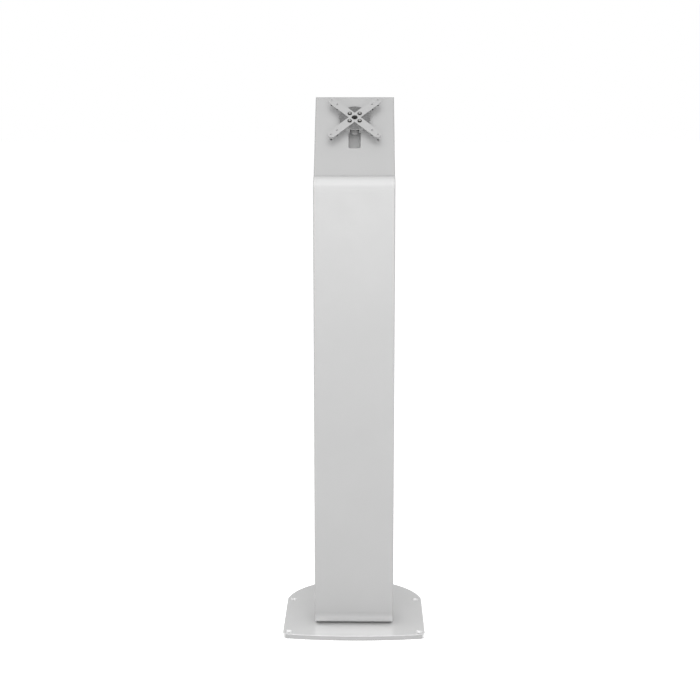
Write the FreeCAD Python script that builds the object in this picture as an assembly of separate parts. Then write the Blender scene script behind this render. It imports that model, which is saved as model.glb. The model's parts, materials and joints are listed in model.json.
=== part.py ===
"""Floor-standing display post: D-shaped base, slim column, tilted head and a turning display bracket.

Millimetres.  X is to the right, Y to the back, Z up.  The origin is on the floor, under the middle of
the base.  Pieces on the head are drawn lying flat and then laid on the head's sloping face: there x is
across the head, y is up the slope, z is out of the face, and the origin is the bracket's turning axis.
"""
import FreeCAD, Part
import math
import os

V = FreeCAD.Vector

# ---- driving dimensions -------------------------------------------------------------------------
SHEET = 2.0                    # folded sheet steel of every casing
BEND_R = 2.5                   # outside radius of the folded edges
SEAM = 0.5                     # shadow gap between neighbouring casings

BASE_HALF_WIDTH = 153.0
BASE_FRONT_Y = -180.6          # middle of the bowed front edge
BASE_FRONT_R = 900.0
BASE_REAR_R = 156.0            # large round rear edge
BASE_REAR_CENTRE_Y = 24.6
BASE_THICK = 10.0
PAD_PROUD = 0.6                # the rubber pads lift the steel off the floor by this much
BASE_TOP = PAD_PROUD + BASE_THICK
ANCHORS = [(x, y) for x in (-140.0, 140.0) for y in (-153.5, 46.5)]
ANCHOR_HOLE_D = 9.0
ANCHOR_SINK_D = 17.0
PADS = [(-112.0, -135.0), (112.0, -135.0), (-118.0, 30.0), (118.0, 30.0), (0.0, 140.0)]
PAD_D = 25.0
PAD_THICK = 2.0

HALF_WIDTH = 85.0              # column and head
FRONT_Y = -125.0               # flat face of the front cover
COLUMN_DEPTH = 85.0
REAR_Y = FRONT_Y + COLUMN_DEPTH
COVER_DEPTH = 40.0
COVER_ROLL_R = 32.0            # quarter-round roll at the cover's two ends
COVER_BOTTOM = BASE_TOP + 2.0
COVER_TOP = 983.6
LIP = 15.0                     # width of the folded lips inside the casings

HEAD_LEAN = 44.0               # degrees back from upright
AXIS_Y = 23.5                  # turning axis where it meets the head's face
AXIS_Z = 1092.9
HEAD_TOP_S = 75.2              # up the slope, from the turning axis
HEAD_LOW_S = -152.0
HEAD_DEPTH = 34.0
HEAD_FOLD = 12.0               # depth of the head plate's folded sides

FLANGE_Z = -HEAD_DEPTH + SHEET + 0.2           # flanges under the head's rear cover
SIDE_TOP_S = HEAD_TOP_S - SHEET - 0.3
REAR_SCREW_S = (-112.0, -22.0, 58.0)
REAR_SCREW_X = 75.0
BRACKET_SCREW_S = (-118.0, -40.0, 38.0)        # screws that tie the head plate to the cheeks
BRACKET_SCREW_Z = -20.0

CABLE_W = 26.0                 # cable opening in the head plate
CABLE_LOW_S = -75.0
CABLE_TOP_S = -29.0
CABLE_R = 4.5
TIE_TAB_W = 11.4               # tongue for a cable tie, between two slots
TIE_TAB_END_S = -34.0
TIE_SLOT_W = 19.6
TIE_SLOT_TOP_S = -20.0

PATTERNS = (50.0, 37.5)        # half spacings of the square display hole patterns
PLATE_HOLE_D = 5.0
BRACKET_HOLE_D = 4.5

DRUM_R = 31.0
DRUM_H = 10.3
DRUM_WALL = 3.0
NOTCH_W = 19.6
FRICTION_T = 0.45
HUB_R = 33.0
HUB_Z = 10.8                   # rear face of the turning hub plate
HUB_T = 2.0
PAD_FACE_T = 1.0
ARM_W = 18.4
ARM_END_BACK = 2.5             # the arms' round ends lie this far inside the outer holes
BRACKET_T = 1.5
BRACKET_Z = HUB_Z + HUB_T + PAD_FACE_T
CENTRE_HOLE_D = 13.0
HUB_SCREW_R = 15.0
HUB_SCREW_D = 3.0
DISH_R = 10.0
DISH_FLOOR_Z = 3.6
STOP_R = 22.0
STOP_PIN_D = 4.0
STOP_TRAVEL = 90.0             # degrees each way
PIVOT_D = 8.0

SCREW_CORNERS = [(sx, sy) for sx in (-1, 1) for sy in (-1, 1)]


# ---- small helpers ------------------------------------------------------------------------------
def box(x0, x1, y0, y1, z0, z1):
    return Part.makeBox(x1 - x0, y1 - y0, z1 - z0, V(x0, y0, z0))


def rod(diameter, z0, z1, x=0.0, y=0.0):
    return Part.makeCylinder(diameter / 2, z1 - z0, V(x, y, z0))


def cone(d0, d1, z0, z1, x=0.0, y=0.0):
    return Part.makeCone(d0 / 2, d1 / 2, z1 - z0, V(x, y, z0))


def hexagon(across_flats, z0, z1, x=0.0, y=0.0):
    reach = across_flats / math.sqrt(3)
    corners = [V(x + reach * math.cos(math.radians(60 * k)), y + reach * math.sin(math.radians(60 * k)), z0)
               for k in range(7)]
    return Part.Face(Part.makePolygon(corners)).extrude(V(0, 0, z1 - z0))


def ring(outer_d, inner_d, z0, z1, x=0.0, y=0.0):
    return rod(outer_d, z0, z1, x, y).cut(rod(inner_d, z0 - 1, z1 + 1, x, y))


def fuse(shapes):
    first, *others = shapes
    return first.multiFuse(others).removeSplitter() if others else first


def side_prism(points, x0, x1):
    """Extrude a (y, z) outline across the object from x0 to x1."""
    outline = [V(x0, y, z) for y, z in points]
    return Part.Face(Part.makePolygon(outline + outline[:1])).extrude(V(x1 - x0, 0, 0))


def rounded_plate(x0, x1, y0, y1, z0, z1, radius):
    plate = box(x0, x1, y0, y1, z0, z1)
    return plate.makeFillet(radius, edges_along(plate, V(0, 0, 1)))


def edges_along(shape, direction, keep=lambda point: True):
    """Straight edges parallel to a direction whose middle point passes a test."""
    found = []
    for edge in shape.Edges:
        if edge.Curve.TypeId != "Part::GeomLine":
            continue
        if abs(abs(edge.tangentAt(edge.FirstParameter).dot(direction)) - 1) < 1e-6:
            if keep(edge.CenterOfMass):
                found.append(edge)
    return found


def on_head(shape):
    """Lay a piece that was drawn flat onto the head's sloping face."""
    placed = shape.copy()
    placed.rotate(V(0, 0, 0), V(1, 0, 0), 90 - HEAD_LEAN)
    placed.translate(V(0, AXIS_Y, AXIS_Z))
    return placed


def head_point(s, h):
    """World (y, z) of a point s up the slope and h out of the head's face."""
    lean = math.radians(HEAD_LEAN)
    return AXIS_Y + s * math.sin(lean) - h * math.cos(lean), AXIS_Z + s * math.cos(lean) + h * math.sin(lean)


# Height at which the upright rear wall meets the head's rear line.
BEND_Z = AXIS_Z + (REAR_Y - AXIS_Y) / math.tan(math.radians(HEAD_LEAN)) - HEAD_DEPTH / math.sin(
    math.radians(HEAD_LEAN))


def standing_on(shape, position, axis):
    """Move a piece drawn along +Z at the origin to a position, with its Z turned to the axis."""
    placed = shape.copy()
    placed.Placement = FreeCAD.Placement(position, FreeCAD.Rotation(V(0, 0, 1), axis))
    return placed


def button_screw(shank_d, length, head_d, head_h, key):
    """Button-head screw: the head's seat is at z = 0, the shank points down."""
    head = rod(head_d, 0, head_h)
    head = head.makeFillet(head_h * 0.6, [e for e in head.Edges if abs(e.CenterOfMass.z - head_h) < 1e-6
                                          and e.Curve.TypeId == "Part::GeomCircle"])
    socket = hexagon(key, head_h * 0.4, head_h + 1)
    return fuse([head.cut(socket), rod(shank_d, -length, 0)])


# ---- base ---------------------------------------------------------------------------------------
def base_outline(z):
    """D-shaped outline: bowed front, straight sides, large round rear."""
    w = BASE_HALF_WIDTH
    front_corner_y = BASE_FRONT_Y + BASE_FRONT_R - math.sqrt(BASE_FRONT_R ** 2 - w ** 2)
    rear_corner_y = BASE_REAR_CENTRE_Y + math.sqrt(BASE_REAR_R ** 2 - w ** 2)
    rear_y = BASE_REAR_CENTRE_Y + BASE_REAR_R
    front = Part.Arc(V(-w, front_corner_y, z), V(0, BASE_FRONT_Y, z), V(w, front_corner_y, z)).toShape()
    right = Part.makeLine(V(w, front_corner_y, z), V(w, rear_corner_y, z))
    rear = Part.Arc(V(w, rear_corner_y, z), V(0, rear_y, z), V(-w, rear_corner_y, z)).toShape()
    left = Part.makeLine(V(-w, rear_corner_y, z), V(-w, front_corner_y, z))
    return Part.Face(Part.Wire([front, right, rear, left]))


CABLE_ENTRY = (0.0, -62.0)     # floor cable entry inside the column
CABLE_ENTRY_D = 30.0
FOOT_BOLTS = [(x, y) for x in (-60.0, 60.0) for y in (-73.0, -51.5)]
FOOT_THICK = 5.0
EARTH = (34.0, -62.0)


def make_base_plate():
    plate = base_outline(PAD_PROUD).extrude(V(0, 0, BASE_THICK))
    front_corners = edges_along(plate, V(0, 0, 1), lambda p: p.y < 0)
    plate = plate.makeFillet(13.0, front_corners)
    rear_corners = edges_along(plate, V(0, 0, 1), lambda p: p.y > 0)
    plate = plate.makeFillet(16.0, rear_corners)
    rim = [e for f in plate.Faces if abs(f.CenterOfMass.z - BASE_TOP) < 1e-6 for e in f.Edges]
    plate = plate.makeFillet(1.2, rim)
    cuts = [rod(CABLE_ENTRY_D, 0, BASE_TOP + 1, *CABLE_ENTRY)]
    sink_depth = (ANCHOR_SINK_D - ANCHOR_HOLE_D) / 2
    for x, y in ANCHORS:
        cuts.append(rod(ANCHOR_HOLE_D, 0, BASE_TOP + 1, x, y))
        cuts.append(cone(ANCHOR_HOLE_D, ANCHOR_SINK_D, BASE_TOP - sink_depth, BASE_TOP, x, y))
    cuts += [rod(8.2, 2.0, BASE_TOP + 1, x, y) for x, y in FOOT_BOLTS]
    cuts += [rod(PAD_D + 0.4, 0, PAD_THICK, x, y) for x, y in PADS]
    return plate.cut(Part.makeCompound(cuts))


def make_base_pads():
    return [rod(PAD_D, 0, PAD_THICK, x, y) for x, y in PADS]


def make_foot_plate():
    inner = HALF_WIDTH - SHEET
    plate = box(-inner, inner, FRONT_Y + COVER_DEPTH + SEAM + SHEET, REAR_Y - SHEET,
                BASE_TOP, BASE_TOP + FOOT_THICK)
    holes = [rod(9.0, 0, 50, x, y) for x, y in FOOT_BOLTS]
    holes.append(rod(CABLE_ENTRY_D, 0, 50, *CABLE_ENTRY))
    holes.append(rod(6.0, 0, 50, *EARTH))
    return plate.cut(Part.makeCompound(holes))


def make_foot_bolts():
    seat = BASE_TOP + FOOT_THICK + 1.6
    bolts = []
    for x, y in FOOT_BOLTS:
        head = hexagon(13.0, seat, seat + 5.3, x, y).common(cone(22.0, 11.0, seat, seat + 9.0, x, y))
        bolts.append(fuse([head, rod(8.0, 3.0, seat, x, y)]))
    return bolts


def make_foot_washers():
    seat = BASE_TOP + FOOT_THICK
    return [ring(16.0, 8.4, seat, seat + 1.6, x, y) for x, y in FOOT_BOLTS]


def make_floor_grommet():
    """Rubber edging of the floor cable entry: a flange on the foot plate and a sleeve through it."""
    top = BASE_TOP + FOOT_THICK
    x, y = CABLE_ENTRY
    flange = ring(CABLE_ENTRY_D + 6, CABLE_ENTRY_D - 4, top, top + 2.0, x, y)
    sleeve = ring(CABLE_ENTRY_D, CABLE_ENTRY_D - 4, PAD_PROUD + 0.6, top, x, y)
    return fuse([flange, sleeve])


def make_earth_stud():
    return rod(6.0, BASE_TOP + 0.5, BASE_TOP + FOOT_THICK + 20, *EARTH)


def make_earth_nuts():
    seat = BASE_TOP + FOOT_THICK
    lower = ring(12.0, 6.0, seat, seat + 1.2, *EARTH)
    nut = hexagon(10.0, seat + 1.2, seat + 6.2, *EARTH).cut(rod(6.0, 0, 60, *EARTH))
    upper = hexagon(10.0, seat + 9.0, seat + 14.0, *EARTH).cut(rod(6.0, 0, 60, *EARTH))
    return [lower, nut, upper]


# ---- column -------------------------------------------------------------------------------------
LIP_Y = FRONT_Y + COVER_DEPTH + SEAM           # front face of the body's folded lips
HOOK_HEIGHTS = (230.0, 560.0, 890.0)
HOOK_NECK = 16.0
HOOK_DROP = 9.0
TAB_Z = 70.0                                   # cover fixing tabs
TAB_H = 24.0
COVER_SCREW_Y = -103.0
EXIT_Z = 62.0                                  # rear cable exit
EXIT_D = 30.0
HOOK_SLOT_W = 3.4
SIDE_Z = 972.0                                 # top of the column's sides
WALL_CORNER_Y = REAR_Y - 2 * BEND_R            # the rear wall and its folded corners rise above SIDE_Z


def both_sides(x_a, x_b, *rest):
    """The same box on the left and on the right, between two distances from the middle plane."""
    near, far = sorted((x_a, x_b))
    return [box(near, far, *rest), box(-far, -near, *rest)]


def make_column_shell():
    """Folded channel: the column's two sides and rear wall, with lips that carry the front cover."""
    inner = HALF_WIDTH - SHEET
    channel = box(-HALF_WIDTH, HALF_WIDTH, LIP_Y, REAR_Y, BASE_TOP, BEND_Z)
    channel = channel.makeFillet(BEND_R, edges_along(channel, V(0, 0, 1), lambda p: p.y > REAR_Y - 1))
    channel = channel.cut(box(-inner, inner, LIP_Y - 1, REAR_Y - SHEET, BASE_TOP - 1, BEND_Z + 1))
    channel = channel.cut(box(-HALF_WIDTH - 1, HALF_WIDTH + 1, LIP_Y - 1, WALL_CORNER_Y, SIDE_Z, BEND_Z + 1))
    lips = both_sides(inner - LIP, inner, LIP_Y, LIP_Y + SHEET, BASE_TOP + FOOT_THICK, COVER_TOP - 20)
    tabs = both_sides(inner - SHEET, inner, COVER_SCREW_Y - 9, LIP_Y + SHEET,
                      TAB_Z - TAB_H / 2, TAB_Z + TAB_H / 2)
    cuts = [standing_on(rod(EXIT_D, -5, 5), V(0, REAR_Y - SHEET / 2, EXIT_Z), V(0, 1, 0)),
            standing_on(rod(4.2, -HALF_WIDTH, HALF_WIDTH), V(0, COVER_SCREW_Y, TAB_Z), V(1, 0, 0))]
    for z in HOOK_HEIGHTS:
        cuts += both_sides(inner - HOOK_SLOT_W, inner, LIP_Y - 1, LIP_Y + SHEET + 1,
                           z - HOOK_DROP - 2, z + HOOK_NECK + 2)
    return fuse([channel] + lips + tabs).cut(Part.makeCompound(cuts))


def make_head_cheeks():
    """Sides of the head, welded on top of the column's sides, with flanges for the rear cover."""
    low = HEAD_LOW_S - 0.3
    fold = -HEAD_FOLD - 0.3
    outline = [(LIP_Y, SIDE_Z), (LIP_Y, COVER_TOP - 3.0), head_point(low, -0.3), head_point(low, fold),
               head_point(SIDE_TOP_S, fold), head_point(SIDE_TOP_S, -HEAD_DEPTH), (REAR_Y, BEND_Z),
               (WALL_CORNER_Y, BEND_Z), (WALL_CORNER_Y, SIDE_Z)]
    inner = HALF_WIDTH - SHEET
    plates = [side_prism(outline, -HALF_WIDTH, -inner), side_prism(outline, inner, HALF_WIDTH)]
    flanges = both_sides(inner - LIP, inner, HEAD_LOW_S + 30, SIDE_TOP_S, FLANGE_Z, FLANGE_Z + SHEET)
    cheeks = []
    for side, plate, flange in zip((-1, 1), plates, reversed(flanges)):
        outward = V(side, 0, 0)
        cuts = [standing_on(rod(4.0, 0, 1.3), V(side * inner, *head_point(s, BRACKET_SCREW_Z)), outward)
                for s in BRACKET_SCREW_S]
        cuts += [on_head(rod(4.2, FLANGE_Z - 3, FLANGE_Z + 5, side * REAR_SCREW_X, s)) for s in REAR_SCREW_S]
        cheeks.append(fuse([plate, on_head(flange)]).cut(Part.makeCompound(cuts)))
    return cheeks


def cover_section(inset, rear_y, x0, x1):
    """Side section of the front cover: flat face between two quarter-round rolls."""
    front = FRONT_Y + inset
    low, high = COVER_BOTTOM + inset, COVER_TOP - inset
    r = COVER_ROLL_R - inset
    diag = r * (1 - math.sqrt(0.5))
    edges = [Part.makeLine(V(x0, rear_y, low), V(x0, front + r, low)),
             Part.Arc(V(x0, front + r, low), V(x0, front + diag, low + diag),
                      V(x0, front, low + r)).toShape(),
             Part.makeLine(V(x0, front, low + r), V(x0, front, high - r)),
             Part.Arc(V(x0, front, high - r), V(x0, front + diag, high - diag),
                      V(x0, front + r, high)).toShape(),
             Part.makeLine(V(x0, front + r, high), V(x0, rear_y, high)),
             Part.makeLine(V(x0, rear_y, high), V(x0, rear_y, low))]
    return Part.Face(Part.Wire(edges)).extrude(V(x1 - x0, 0, 0))


def make_front_cover():
    rear_y = FRONT_Y + COVER_DEPTH
    inner = HALF_WIDTH - SHEET
    outer = cover_section(0, rear_y, -HALF_WIDTH, HALF_WIDTH)
    rim = [e for e in outer.Edges if abs(abs(e.CenterOfMass.x) - HALF_WIDTH) < 1e-6
           and e.CenterOfMass.y < rear_y - 0.1]
    cover = outer.makeFillet(BEND_R, rim).cut(cover_section(SHEET, rear_y + 10, -inner, inner))
    holes = []
    for side in (-1, 1):
        at = V(side * HALF_WIDTH, COVER_SCREW_Y, TAB_Z)
        inward = V(-side, 0, 0)
        holes.append(standing_on(fuse([cone(8.4, 4.4, 0, 2.0), rod(4.4, 1, 4)]), at, inward))
    return cover.cut(Part.makeCompound(holes))


def make_cover_hooks():
    """Hooks inside the cover that pass through slots in the body's lips and drop behind them."""
    root, behind = LIP_Y - 22, LIP_Y + SHEET + 0.3
    tip = behind + 6
    inner = HALF_WIDTH - SHEET
    thick = SHEET + 0.4
    hooks = []
    for z in HOOK_HEIGHTS:
        top, drop = z + HOOK_NECK, z - HOOK_DROP
        outline = [(root, z), (behind, z), (behind, drop), (tip, drop), (tip, top), (root, top)]
        hooks += [side_prism(outline, -inner, thick - inner), side_prism(outline, inner - thick, inner)]
    return hooks


def make_cover_screws():
    screws = []
    for side in (-1, 1):
        at = V(side * HALF_WIDTH, COVER_SCREW_Y, TAB_Z)
        head = cone(8.0, 4.0, 0.1, 2.1).cut(hexagon(2.5, 0, 1.4))
        screws.append(standing_on(fuse([head, rod(4.0, 2.0, 9.0)]), at, V(-side, 0, 0)))
    return screws


def make_cover_nuts():
    nuts = []
    for side in (-1, 1):
        at = V(side * (HALF_WIDTH - 2 * SHEET), COVER_SCREW_Y, TAB_Z)
        nuts.append(standing_on(hexagon(7.0, 0, 3.2).cut(rod(4.0, -1, 5)), at, V(-side, 0, 0)))
    return nuts


def make_exit_grommet():
    """Rubber grommet in the rear cable exit."""
    groove = ring(EXIT_D, EXIT_D - 6, -SHEET / 2, SHEET / 2)
    outside = ring(EXIT_D + 7, EXIT_D - 6, SHEET / 2, SHEET / 2 + 2.5)
    inside = ring(EXIT_D + 5, EXIT_D - 6, -SHEET / 2 - 2.5, -SHEET / 2)
    return standing_on(fuse([groove, outside, inside]), V(0, REAR_Y - SHEET / 2, EXIT_Z), V(0, 1, 0))


def make_cable_saddles():
    """Glued saddles on the inside of the rear wall, for cable ties."""
    saddles = []
    inside = REAR_Y - SHEET
    for z in (250.0, 500.0, 750.0):
        block = box(-14, 14, inside - 2.0, inside, z - 14, z + 14)
        bridge = box(-6, 6, inside - 7.0, inside - 2.0, z - 8, z + 8)
        tunnel = box(-8, 8, inside - 5.2, inside - 3.0, z - 3, z + 3)
        saddles.append(fuse([block, bridge]).cut(tunnel))
    return saddles


# ---- head ---------------------------------------------------------------------------------------
def cable_cutout():
    """Cable opening with two slots above it, which leave a tongue for a cable tie."""
    window = rounded_plate(-CABLE_W / 2, CABLE_W / 2, CABLE_LOW_S, CABLE_TOP_S, -5, 1, CABLE_R)
    slots = box(-TIE_SLOT_W / 2, TIE_SLOT_W / 2, CABLE_TOP_S - 1, TIE_SLOT_TOP_S, -5, 1)
    tongue = rounded_plate(-TIE_TAB_W / 2, TIE_TAB_W / 2, TIE_TAB_END_S, 0, -6, 2, 2.5)
    return window.fuse(slots).cut(tongue)


def make_head_plate():
    w = HALF_WIDTH
    plate = box(-w, w, HEAD_LOW_S, HEAD_TOP_S, -HEAD_FOLD, 0)
    crown = box(-w, w, HEAD_TOP_S - SHEET, HEAD_TOP_S, -HEAD_DEPTH, 0)
    plate = fuse([plate, crown])
    folded = edges_along(plate, V(0, 1, 0), lambda p: abs(p.z) < 1e-6)
    folded += edges_along(plate, V(1, 0, 0), lambda p: abs(p.z) < 1e-6 and p.y > 0)
    plate = plate.makeFillet(BEND_R, folded)
    hollow = box(-w + SHEET, w - SHEET, HEAD_LOW_S + SHEET, HEAD_TOP_S - SHEET, -HEAD_DEPTH - 1, -SHEET)
    below_crown = box(-w - 1, w + 1, HEAD_LOW_S - 1, HEAD_TOP_S - SHEET, -HEAD_DEPTH - 1, -HEAD_FOLD)
    cuts = [hollow, below_crown, cable_cutout(), rod(PIVOT_D + 0.4, -5, 1)]
    for half in PATTERNS:
        cuts += [rod(PLATE_HOLE_D, -5, 1, sx * half, sy * half) for sx, sy in SCREW_CORNERS]
    cuts += [rod(5.4, -5, 1, *drum_screw_at(sx, sy)) for sx, sy in SCREW_CORNERS]
    return on_head(plate.cut(Part.makeCompound(cuts)))


def make_head_brackets():
    """Angles that tie the head plate to the sides of the body."""
    inner = HALF_WIDTH - SHEET
    low_s, top_s = HEAD_LOW_S + 14, HEAD_TOP_S - 11
    legs = both_sides(inner - SHEET, inner, low_s, top_s, -28, -SHEET)
    flats = both_sides(inner - 18, inner, low_s, top_s, -2 * SHEET, -SHEET)
    holes = [standing_on(rod(4.2, -HALF_WIDTH, HALF_WIDTH), V(0, *head_point(s, BRACKET_SCREW_Z)), V(1, 0, 0))
             for s in BRACKET_SCREW_S]
    return [on_head(fuse([leg, flat])).cut(Part.makeCompound(holes)) for leg, flat in zip(legs, flats)]


def make_head_bracket_screws():
    """Button screws through the angles, into blind clinch bushes in the sides."""
    screw = button_screw(4.0, 3.2, 7.6, 2.2, 2.5)
    screws = []
    for side in (-1, 1):
        for s in BRACKET_SCREW_S:
            at = V(side * (HALF_WIDTH - 2 * SHEET), *head_point(s, BRACKET_SCREW_Z))
            screws.append(standing_on(screw, at, V(-side, 0, 0)))
    return screws


def make_head_rear_cover():
    half = HALF_WIDTH - SHEET - 0.4
    low = HEAD_LOW_S + 26.5
    cover = rounded_plate(-half, half, low, SIDE_TOP_S - 0.2, -HEAD_DEPTH, -HEAD_DEPTH + SHEET, 3.0)
    holes = [rod(4.5, -HEAD_DEPTH - 1, -HEAD_DEPTH + 4, side * REAR_SCREW_X, s)
             for side in (-1, 1) for s in REAR_SCREW_S]
    return on_head(cover.cut(Part.makeCompound(holes)))


def make_rear_cover_screws():
    screw = button_screw(4.0, 8.0, 7.6, 2.2, 2.5)
    screw.rotate(V(0, 0, 0), V(1, 0, 0), 180)
    screws = []
    for side in (-1, 1):
        for s in REAR_SCREW_S:
            placed = screw.copy()
            placed.translate(V(side * REAR_SCREW_X, s, -HEAD_DEPTH))
            screws.append(on_head(placed))
    return screws


def make_rear_cover_nuts():
    seat = FLANGE_Z + SHEET
    return [on_head(hexagon(7.0, seat, seat + 2.6, side * REAR_SCREW_X, s)
                    .cut(rod(4.0, seat - 1, seat + 4, side * REAR_SCREW_X, s)))
            for side in (-1, 1) for s in REAR_SCREW_S]


# ---- turning display bracket --------------------------------------------------------------------
def drum_screw_at(sx, sy):
    reach = STOP_R * math.sqrt(0.5)
    return sx * reach, sy * reach


def make_pivot_drum():
    """Fixed drum under the turning hub, notched at the bottom where the cable goes in."""
    drum = rod(2 * DRUM_R, 0, DRUM_H)
    bore = rod(2 * (DRUM_R - DRUM_WALL), DRUM_WALL, DRUM_H + 1)
    notch = box(-NOTCH_W / 2, NOTCH_W / 2, -DRUM_R - 1, TIE_SLOT_TOP_S + 2, -1, DRUM_H + 1)
    cuts = [bore, notch, rod(PIVOT_D + 0.4, -1, 5), rod(STOP_PIN_D, 0.5, 5, 0, STOP_R)]
    cuts += [rod(5.0, -1, 5, *drum_screw_at(sx, sy)) for sx, sy in SCREW_CORNERS]
    return on_head(drum.cut(Part.makeCompound(cuts)))


def make_drum_screws():
    screw = button_screw(5.0, 4.6, 9.5, 2.7, 3.0)
    screw.rotate(V(0, 0, 0), V(1, 0, 0), 180)
    screws = []
    for sx, sy in SCREW_CORNERS:
        placed = screw.copy()
        x, y = drum_screw_at(sx, sy)
        placed.translate(V(x, y, -SHEET))
        screws.append(on_head(placed))
    return screws


def make_friction_ring():
    return on_head(ring(2 * DRUM_R - 0.6, 2 * (DRUM_R - DRUM_WALL) - 2, DRUM_H, DRUM_H + FRICTION_T)
                   .cut(box(-NOTCH_W / 2, NOTCH_W / 2, -DRUM_R - 1, TIE_SLOT_TOP_S + 2, 0, 20)))


HUB_NUT_H = 2.4


def hub_screw_at(sx, sy):
    reach = HUB_SCREW_R * math.sqrt(0.5)
    return sx * reach, sy * reach


def stop_slot(z0, z1):
    """Arc slot for the stop pin, half a turn long with the pin in its middle at rest."""
    width = STOP_PIN_D + 0.6
    travel = STOP_TRAVEL + 1.0
    half_ring = ring(2 * STOP_R + width, 2 * STOP_R - width, z0, z1)
    upper = half_ring.common(box(-50, 50, 0, 50, z0 - 1, z1 + 1))
    ends = []
    for side in (-1, 1):
        angle = math.radians(90 + side * travel)
        ends.append(rod(width, z0, z1, STOP_R * math.cos(angle), STOP_R * math.sin(angle)))
    return fuse([upper] + ends)


def make_hub_plate():
    """Turning hub: a round plate with a deep dish round the pivot bolt's head and springs."""
    plate = rod(2 * HUB_R, HUB_Z, HUB_Z + HUB_T)
    dish = rod(2 * DISH_R, DISH_FLOOR_Z, HUB_Z + 0.5)
    hollow = rod(2 * (DISH_R - 1.8), DISH_FLOOR_Z + 2.0, HUB_Z + HUB_T + 1)
    cuts = [hollow, rod(PIVOT_D + 2.0, 0, 20), stop_slot(HUB_Z - 1, HUB_Z + HUB_T + 1)]
    cuts += [rod(HUB_SCREW_D, 5, 20, *hub_screw_at(sx, sy)) for sx, sy in SCREW_CORNERS]
    return on_head(fuse([plate, dish]).cut(Part.makeCompound(cuts)))


def make_hub_nuts():
    return [on_head(hexagon(5.5, HUB_Z - HUB_NUT_H, HUB_Z, *hub_screw_at(sx, sy))
                    .cut(rod(HUB_SCREW_D, 0, 20, *hub_screw_at(sx, sy)))) for sx, sy in SCREW_CORNERS]


def make_pivot_bush():
    """Plain bush pressed in the hub's dish, running on the pivot bolt."""
    sleeve = ring(PIVOT_D + 2.0, PIVOT_D + 0.1, DISH_FLOOR_Z, DISH_FLOOR_Z + 2.0)
    return on_head(sleeve)


def make_hub_pad():
    pad = rod(2 * HUB_R - 0.4, HUB_Z + HUB_T, BRACKET_Z)
    cuts = [rod(CENTRE_HOLE_D, 0, 30)]
    cuts += [rod(HUB_SCREW_D + 0.4, 0, 30, *hub_screw_at(sx, sy)) for sx, sy in SCREW_CORNERS]
    return on_head(pad.cut(Part.makeCompound(cuts)))


def make_x_bracket():
    """Cross of two round-ended bars with the two square display hole patterns."""
    reach = max(PATTERNS) * math.sqrt(2) - ARM_END_BACK
    bars = []
    for turn in (45, -45):
        bar = fuse([box(-reach, reach, -ARM_W / 2, ARM_W / 2, BRACKET_Z, BRACKET_Z + BRACKET_T),
                    rod(ARM_W, BRACKET_Z, BRACKET_Z + BRACKET_T, -reach),
                    rod(ARM_W, BRACKET_Z, BRACKET_Z + BRACKET_T, reach)])
        bar.rotate(V(0, 0, 0), V(0, 0, 1), turn)
        bars.append(bar)
    cuts = [rod(CENTRE_HOLE_D, 0, 30)]
    cuts += [rod(HUB_SCREW_D + 0.4, 0, 30, *hub_screw_at(sx, sy)) for sx, sy in SCREW_CORNERS]
    for half in PATTERNS:
        cuts += [rod(BRACKET_HOLE_D, 0, 30, sx * half, sy * half) for sx, sy in SCREW_CORNERS]
    return on_head(fuse(bars).cut(Part.makeCompound(cuts)))


HUB_WASHER_T = 0.8


def make_hub_washers():
    top = BRACKET_Z + BRACKET_T
    return [on_head(ring(9.4, HUB_SCREW_D + 0.2, top, top + HUB_WASHER_T, *hub_screw_at(sx, sy)))
            for sx, sy in SCREW_CORNERS]


def make_hub_screws():
    seat = BRACKET_Z + BRACKET_T + HUB_WASHER_T
    screws = []
    for sx, sy in SCREW_CORNERS:
        head = rod(4.6, 0, 1.4).cut(hexagon(1.5, 0.6, 3))
        screw = fuse([head, rod(HUB_SCREW_D, HUB_Z - HUB_NUT_H - seat, 0)])
        x, y = hub_screw_at(sx, sy)
        screw.translate(V(x, y, seat))
        screws.append(on_head(screw))
    return screws


SPRING_Z = DISH_FLOOR_Z + 2.05
SPRING_H = 1.5


def make_disc_springs():
    """Two disc springs, back to back, between the dish and the bolt's head."""
    lower = cone(15.4, 11.0, SPRING_Z, SPRING_Z + SPRING_H / 2).cut(rod(8.2, 0, 20))
    upper = cone(11.0, 15.4, SPRING_Z + SPRING_H / 2, SPRING_Z + SPRING_H).cut(rod(8.2, 0, 20))
    return [on_head(lower), on_head(upper)]


def make_pivot_bolt():
    """Low-head pivot bolt; its socket is reached through the hole in the middle of the bracket."""
    seat = SPRING_Z + SPRING_H
    head = rod(13.0, seat, seat + 4.6)
    head = head.makeFillet(0.6, [e for e in head.Edges if abs(e.CenterOfMass.z - seat - 4.6) < 1e-6])
    head = head.cut(hexagon(5.0, seat + 2.0, seat + 6))
    return on_head(fuse([head, rod(PIVOT_D, -14.0, seat)]))


def make_pivot_washer():
    return on_head(ring(24.0, 8.4, -SHEET - 2.0, -SHEET))


def make_pivot_nut():
    top = -SHEET - 2.0
    nut = hexagon(13.0, top - 6.5, top).common(cone(11.5, 15.6, top - 6.5, top - 3.0)
                                               .fuse(rod(15.6, top - 3.0, top)))
    collar = rod(11.5, top - 8.0, top - 6.5)
    return on_head(fuse([nut, collar]).cut(rod(PIVOT_D, -30, 0)))


def make_stop_pin():
    return on_head(rod(STOP_PIN_D, 0.5, HUB_Z + HUB_T - 0.3, 0, STOP_R))


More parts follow.
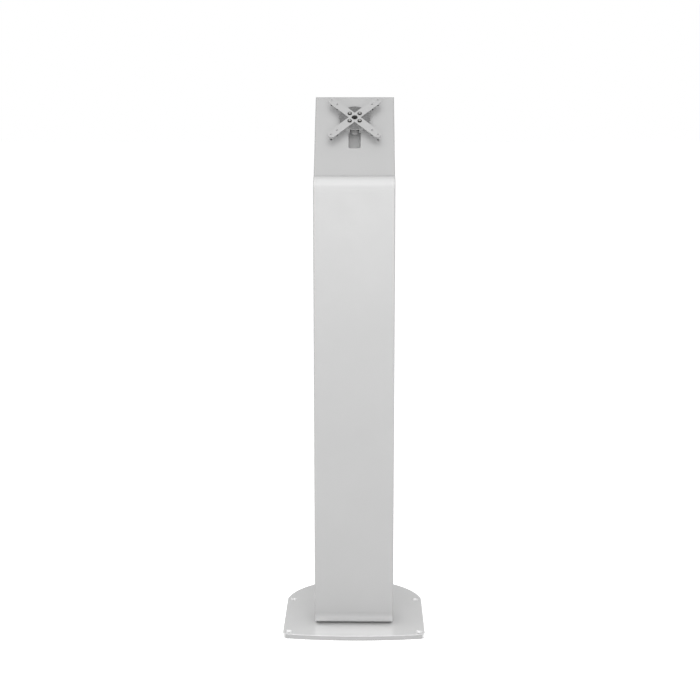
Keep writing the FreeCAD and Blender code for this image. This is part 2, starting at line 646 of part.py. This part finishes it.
# ---- write one file per sub-part ----------------------------------------------------------------
NODES = {
    "base_plate": make_base_plate,
    "base_pads": make_base_pads,
    "foot_plate": make_foot_plate,
    "foot_bolts": make_foot_bolts,
    "foot_washers": make_foot_washers,
    "floor_grommet": make_floor_grommet,
    "earth_stud": make_earth_stud,
    "earth_nuts": make_earth_nuts,
    "column_shell": make_column_shell,
    "front_cover": make_front_cover,
    "cover_hooks": make_cover_hooks,
    "cover_screws": make_cover_screws,
    "cover_nuts": make_cover_nuts,
    "exit_grommet": make_exit_grommet,
    "cable_saddles": make_cable_saddles,
    "head_cheeks": make_head_cheeks,
    "head_plate": make_head_plate,
    "head_brackets": make_head_brackets,
    "head_bracket_screws": make_head_bracket_screws,
    "head_rear_cover": make_head_rear_cover,
    "rear_cover_screws": make_rear_cover_screws,
    "rear_cover_nuts": make_rear_cover_nuts,
    "pivot_drum": make_pivot_drum,
    "drum_screws": make_drum_screws,
    "friction_ring": make_friction_ring,
    "hub_plate": make_hub_plate,
    "hub_nuts": make_hub_nuts,
    "pivot_bush": make_pivot_bush,
    "hub_pad": make_hub_pad,
    "x_bracket": make_x_bracket,
    "hub_washers": make_hub_washers,
    "hub_screws": make_hub_screws,
    "disc_springs": make_disc_springs,
    "pivot_bolt": make_pivot_bolt,
    "pivot_washer": make_pivot_washer,
    "pivot_nut": make_pivot_nut,
    "stop_pin": make_stop_pin,
}

os.makedirs("parts", exist_ok=True)
for name, make in NODES.items():
    made = make()
    solids = made if isinstance(made, list) else [made]
    node = Part.makeCompound([solid for piece in solids for solid in piece.Solids])
    assert node.Solids and all(solid.isValid() and solid.Volume > 0 for solid in node.Solids), name
    node.exportStep("parts/" + name + ".step")
    print(name, len(node.Solids), "solids")
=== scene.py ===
"""Looks of the floor-standing display post: materials, floor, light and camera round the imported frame."""
import bpy
import json
import math
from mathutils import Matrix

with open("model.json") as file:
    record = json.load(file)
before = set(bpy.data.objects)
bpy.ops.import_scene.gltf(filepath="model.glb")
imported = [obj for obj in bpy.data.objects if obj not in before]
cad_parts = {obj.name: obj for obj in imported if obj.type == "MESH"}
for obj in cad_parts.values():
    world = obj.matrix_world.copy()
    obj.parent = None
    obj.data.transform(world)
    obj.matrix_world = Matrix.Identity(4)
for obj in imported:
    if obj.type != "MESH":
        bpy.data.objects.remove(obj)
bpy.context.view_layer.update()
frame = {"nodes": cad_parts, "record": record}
scene = bpy.context.scene

MM = 0.001


# ---- node helpers -------------------------------------------------------------------------------
class Material:
    """A node material under construction."""

    def __init__(self, name):
        self.material = bpy.data.materials.new(name)
        self.material.use_nodes = True
        self.tree = self.material.node_tree
        self.shader = self.tree.nodes["Principled BSDF"]
        self.place = self.tree.nodes.new("ShaderNodeTexCoord").outputs["Object"]

    def add(self, kind, inputs=(), **settings):
        node = self.tree.nodes.new(kind)
        for name, value in settings.items():
            setattr(node, name, value)
        for name, value in dict(inputs).items():
            if isinstance(value, bpy.types.NodeSocket):
                self.tree.links.new(value, node.inputs[name])
            else:
                node.inputs[name].default_value = value
        return node

    def noise(self, size, detail=2.0, roughness=0.5):
        """Cloudy noise from 0 to 1, with features of about a size in metres."""
        return self.add("ShaderNodeTexNoise", {"Vector": self.place, "Scale": 1 / size,
                                               "Detail": detail, "Roughness": roughness}).outputs["Fac"]

    def spread(self, value, low, high, out_low=0.0, out_high=1.0):
        """Map a value between two limits onto another range."""
        node = self.add("ShaderNodeMapRange", {"Value": value, "From Min": low, "From Max": high,
                                               "To Min": out_low, "To Max": out_high})
        return node.outputs["Result"]

    def blend(self, amount, first, second):
        """Mix two colours, each a grey level, an RGB triple or a socket."""
        node = self.add("ShaderNodeMix", data_type="RGBA")
        for socket, value in ((node.inputs[0], amount), (node.inputs[6], first), (node.inputs[7], second)):
            if isinstance(value, bpy.types.NodeSocket):
                self.tree.links.new(value, socket)
            elif socket.type == "RGBA":
                socket.default_value = rgba(value)
            else:
                socket.default_value = value
        return node.outputs[2]

    def bump(self, height, depth, below=None):
        """Bump of a depth in metres, on top of another bump if one is given."""
        node = self.add("ShaderNodeBump", {"Height": height, "Distance": depth})
        if below is not None:
            self.tree.links.new(below, node.inputs["Normal"])
        return node.outputs["Normal"]

    def finish(self, colour, roughness, normal=None, **constants):
        """Feed the shader: sockets are linked, and constants are set on the shader itself."""
        feeds = {"Base Color": colour, "Roughness": roughness}
        if normal is not None:
            feeds["Normal"] = normal
        for name, value in feeds.items():
            if isinstance(value, bpy.types.NodeSocket):
                self.tree.links.new(value, self.shader.inputs[name])
            else:
                self.shader.inputs[name].default_value = value
        for name, value in constants.items():
            self.shader.inputs[name.replace("_", " ")].default_value = value
        return self.material


def rgba(value):
    triple = (value,) * 3 if isinstance(value, (int, float)) else value
    return (*triple, 1.0)


# ---- materials ----------------------------------------------------------------------------------
def powder_coat(name, grey, roughness, peel_depth, metallic):
    """Silver powder coat: fine orange peel, faint clouds and flakes, slightly uneven gloss."""
    m = Material(name)
    clouds = m.noise(0.16, detail=3.0)
    specks = m.noise(0.9 * MM, detail=3.0, roughness=0.7)
    colour = m.blend(m.spread(clouds, 0.35, 0.65), grey * 0.985, grey * 1.012)
    colour = m.blend(m.spread(specks, 0.58, 0.72), colour, grey * 0.93)
    gloss = m.spread(m.noise(0.035, detail=4.0), 0.3, 0.7, roughness - 0.03, roughness + 0.03)
    peel = m.bump(m.noise(2.2 * MM, detail=2.0), peel_depth)
    grain = m.bump(m.noise(0.5 * MM, detail=2.0), peel_depth * 0.25, below=peel)
    return m.finish(colour, gloss, grain, Metallic=metallic)


def paint_shading_by_facing(material, grey, axis, low, high):
    """Paint the faces whose normal runs from one limit to another along an axis another grey: painted light
    or shade that goes by which way a face looks.
    """
    tree = material.node_tree
    shader = tree.nodes["Principled BSDF"]
    before = shader.inputs["Base Color"].links[0].from_socket
    facing = tree.nodes.new("ShaderNodeSeparateXYZ")
    tree.links.new(tree.nodes.new("ShaderNodeNewGeometry").outputs["Normal"], facing.inputs[0])
    share = tree.nodes.new("ShaderNodeMapRange")
    share.inputs["From Min"].default_value = low
    share.inputs["From Max"].default_value = high
    tree.links.new(facing.outputs[axis], share.inputs["Value"])
    mix = tree.nodes.new("ShaderNodeMix")
    mix.data_type = "RGBA"
    mix.inputs[7].default_value = rgba(grey)
    tree.links.new(share.outputs["Result"], mix.inputs[0])
    tree.links.new(before, mix.inputs[6])
    tree.links.new(mix.outputs[2], shader.inputs["Base Color"])
    return material


def zinc_plate(name, tint):
    """Bright zinc: pale bluish metal with crystal mottling and fine turning marks."""
    m = Material(name)
    cells = m.add("ShaderNodeTexVoronoi", {"Vector": m.place, "Scale": 1 / (0.7 * MM)}).outputs["Color"]
    clouds = m.noise(3 * MM, detail=3.0)
    colour = m.blend(0.08, tint, cells)
    colour = m.blend(m.spread(clouds, 0.4, 0.7, 0.0, 0.35), colour, (0.60, 0.58, 0.50))
    gloss = m.spread(m.noise(0.8 * MM, detail=4.0), 0.3, 0.7, 0.26, 0.42)
    marks = m.bump(m.noise(0.25 * MM, detail=3.0), 0.02 * MM)
    return m.finish(colour, gloss, marks, Metallic=1.0)


def black_oxide(name):
    """Blackened steel: dark brown-black, worn a little brighter in patches."""
    m = Material(name)
    worn = m.spread(m.noise(1.4 * MM, detail=4.0), 0.55, 0.75)
    colour = m.blend(worn, (0.022, 0.021, 0.020), (0.075, 0.070, 0.064))
    gloss = m.spread(m.noise(0.9 * MM, detail=3.0), 0.3, 0.7, 0.5, 0.65)
    return m.finish(colour, gloss, m.bump(m.noise(0.3 * MM), 0.02 * MM), Metallic=0.3)


def grained_plastic(name, dark, light):
    """Spark-eroded dark plastic: coarse matt grain with light flecks."""
    m = Material(name)
    grain = m.noise(2.6 * MM, detail=5.0, roughness=0.75)
    flecks = m.add("ShaderNodeTexVoronoi", {"Vector": m.place, "Scale": 1 / (1.6 * MM)}).outputs["Distance"]
    colour = m.blend(m.spread(grain, 0.36, 0.66), dark, light)
    rough = m.spread(grain, 0.3, 0.7, 0.55, 0.75)
    pits = m.bump(flecks, 0.12 * MM)
    return m.finish(colour, rough, m.bump(grain, 0.15 * MM, below=pits), Specular_IOR_Level=0.4)


def acetal(name):
    """Natural acetal: waxy off-white with faint flow clouds and turning marks."""
    m = Material(name)
    clouds = m.spread(m.noise(5 * MM, detail=3.0), 0.35, 0.65)
    colour = m.blend(clouds, (0.72, 0.71, 0.67), (0.80, 0.79, 0.76))
    marks = m.bump(m.noise(0.4 * MM, detail=2.0), 0.015 * MM)
    return m.finish(colour, 0.38, marks, Subsurface_Weight=0.15, Subsurface_Scale=1 * MM)


def rubber(name):
    """Black rubber: matt, dusty in patches, with a fine moulded grain."""
    m = Material(name)
    dust = m.spread(m.noise(6 * MM, detail=5.0, roughness=0.65), 0.5, 0.8, 0.0, 0.6)
    colour = m.blend(dust, 0.022, 0.075)
    rough = m.spread(m.noise(2 * MM, detail=3.0), 0.3, 0.7, 0.62, 0.82)
    return m.finish(colour, rough, m.bump(m.noise(0.45 * MM, detail=3.0), 0.05 * MM))


def brass(name):
    """Plain brass, dulled in patches."""
    m = Material(name)
    tarnish = m.spread(m.noise(2.5 * MM, detail=4.0), 0.45, 0.75)
    colour = m.blend(tarnish, (0.72, 0.52, 0.22), (0.42, 0.28, 0.12))
    rough = m.spread(tarnish, 0.0, 1.0, 0.24, 0.45)
    return m.finish(colour, rough, m.bump(m.noise(0.4 * MM), 0.02 * MM), Metallic=1.0)


PEEL = 0.012 * MM              # orange peel of the satin paints
BASE_PEEL = 0.001 * MM         # the base is coated smoother
SATIN_METAL = 0.1
BASE_METAL = 0.35


def cover_paint():
    """Satin paint, with painted highlights: paler where the cover rolls under at its foot and back at its
    top.
    """
    paint = powder_coat("cover_paint", 0.395, 0.42, PEEL, SATIN_METAL)
    # painted highlight: faces looking down, where the foot roll turns under, are painted pale (0.70) in place
    # of the floor's reflection
    paint = paint_shading_by_facing(paint, 0.70, "Z", -0.1, -0.7)
    # painted highlight: faces looking up, on the top roll, are painted paler (0.53) in place of the light
    # from above
    return paint_shading_by_facing(paint, 0.53, "Z", 0.1, 0.5)


MATERIALS = {
    "cover_paint": cover_paint(),
    "head_paint": powder_coat("head_paint", 0.395, 0.45, PEEL, SATIN_METAL),
    # painted light: pale (0.95) on the side that shows through the head's cable opening, in place of light
    # reaching inside
    "head_inside": paint_shading_by_facing(powder_coat("head_inside", 0.38, 0.45, PEEL, SATIN_METAL), 0.95, "Y", -0.3, -0.6),
    # pale and glossy on top, its 0.86 grey partly painted light, far paler than the post's 0.395 paint; its
    # front edge is painted darker (0.37), painted shade that keeps the face toward the front lamp from
    # shining too bright
    "base_paint": paint_shading_by_facing(powder_coat("base_paint", 0.86, 0.07, BASE_PEEL, BASE_METAL), 0.37, "Y", -0.5, -0.9),
    "bracket_paint": powder_coat("bracket_paint", 0.38, 0.45, PEEL, SATIN_METAL),
    "zinc": zinc_plate("zinc", (0.62, 0.64, 0.67)),
    "dull_zinc": zinc_plate("dull_zinc", (0.24, 0.24, 0.25)),
    "black_steel": black_oxide("black_steel"),
    "black_plastic": grained_plastic("black_plastic", 0.075, 0.20),
    "acetal": acetal("acetal"),
    "rubber": rubber("rubber"),
    "brass": brass("brass"),
}
FINISHES = {
    "head_plate": "head_paint", "head_cheeks": "head_paint", "head_brackets": "head_paint",
    "column_shell": "head_paint", "head_rear_cover": "head_inside",
    "hub_screws": "dull_zinc", "hub_washers": "black_steel",
}
for part in frame["record"]["subparts"]:
    slot = part["material_slot"]
    finish = FINISHES.get(part["node"], "cover_paint" if slot == "paint" else slot)
    mesh = frame["nodes"][part["node"]].data
    mesh.materials.clear()
    mesh.materials.append(MATERIALS[finish])


# ---- floor, light and camera --------------------------------------------------------------------
FLOOR_GLOW = 0.47
FLOOR_REACH = 40.0


def floor():
    """Pale level floor, lit to white, wide enough to run out to the horizon."""
    reach = FLOOR_REACH
    mesh = bpy.data.meshes.new("floor")
    mesh.from_pydata([(-reach, -reach, 0), (reach, -reach, 0), (reach, reach, 0), (-reach, reach, 0)], [],
                     [(0, 1, 2, 3)])
    m = Material("floor")
    colour = m.blend(m.spread(m.noise(0.5, detail=3.0), 0.3, 0.7), 0.90, 0.92)
    m.finish(colour, 0.7, m.bump(m.noise(4 * MM), 0.02 * MM), Specular_IOR_Level=0.2)
    m.shader.inputs["Emission Color"].default_value = rgba(1.0)
    m.shader.inputs["Emission Strength"].default_value = FLOOR_GLOW
    mesh.materials.append(m.material)
    level = bpy.data.objects.new("floor", mesh)
    scene.collection.objects.link(level)


def soft_light(name, power, size, position, aim):
    """Rectangular soft box aimed at a point, out of the camera's sight."""
    light = bpy.data.lights.new(name, "AREA")
    light.energy = power
    light.shape = "RECTANGLE"
    light.size, light.size_y = size
    lamp = bpy.data.objects.new(name, light)
    lamp.location = position
    towards = [a - p for a, p in zip(aim, position)]
    reach = math.hypot(towards[0], towards[1])
    lamp.rotation_euler = (math.atan2(reach, -towards[2]), 0, math.atan2(-towards[0], towards[1]))
    lamp.visible_camera = False
    scene.collection.objects.link(lamp)


SKY_OVERHEAD = 1.20
SKY_BACK = 0.32


def sky():
    """Soft room light: a back and an overhead share; the camera itself sees plain white."""
    world = bpy.data.worlds.new("studio")
    world.use_nodes = True
    tree = world.node_tree
    tree.nodes.clear()
    place = tree.nodes.new("ShaderNodeTexCoord").outputs["Generated"]
    axes = tree.nodes.new("ShaderNodeSeparateXYZ")
    tree.links.new(place, axes.inputs[0])
    shares = []
    for axis, start, strength in (("Y", 0.0, SKY_BACK), ("Z", 0.4, SKY_OVERHEAD)):
        share = tree.nodes.new("ShaderNodeMapRange")
        tree.links.new(axes.outputs[axis], share.inputs["Value"])
        share.inputs["From Min"].default_value = start
        share.inputs["To Max"].default_value = strength
        shares.append(share.outputs["Result"])
    total = tree.nodes.new("ShaderNodeMath")
    tree.links.new(shares[0], total.inputs[0])
    tree.links.new(shares[1], total.inputs[1])
    lit = tree.nodes.new("ShaderNodeBackground")
    tree.links.new(total.outputs[0], lit.inputs["Strength"])
    seen = tree.nodes.new("ShaderNodeBackground")
    seen.inputs["Strength"].default_value = 1.0
    for background in (lit, seen):
        background.inputs["Color"].default_value = (1.0, 1.0, 1.0, 1.0)
    ray = tree.nodes.new("ShaderNodeLightPath").outputs["Is Camera Ray"]
    choice = tree.nodes.new("ShaderNodeMixShader")
    out = tree.nodes.new("ShaderNodeOutputWorld")
    tree.links.new(ray, choice.inputs["Fac"])
    tree.links.new(lit.outputs[0], choice.inputs[1])
    tree.links.new(seen.outputs[0], choice.inputs[2])
    tree.links.new(choice.outputs[0], out.inputs["Surface"])
    scene.world = world


# Each soft box: power in watts, width and height, position, and the point it is aimed at.
LIGHTS = {
    "overhead": (40.0, (4.4, 3.6), (0.0, -1.2, 2.9), (0.0, 0.0, 0.8)),
    "high": (20.5, (1.6, 1.0), (0.0, -1.9, 1.15), (0.0, 0.0, 0.95)),
    "side": (4.7, (1.0, 1.6), (-2.0, -0.4, 1.0), (0.0, 0.0, 0.6)),
}


def camera():
    """Camera in front of the post, at the height of its head and looking slightly down."""
    data = bpy.data.cameras.new("camera")
    data.sensor_width = 36.0
    data.lens = 72.0
    eye = bpy.data.objects.new("camera", data)
    eye.location = (0.0213, -3.0222, 1.13066)
    eye.rotation_euler = (math.radians(80.0467), 0.0, math.radians(0.5902))
    scene.collection.objects.link(eye)
    scene.camera = eye


floor()
sky()
for light_name, settings in LIGHTS.items():
    soft_light(light_name, *settings)
camera()
scene.view_settings.view_transform = "Standard"
scene.view_settings.look = "None"
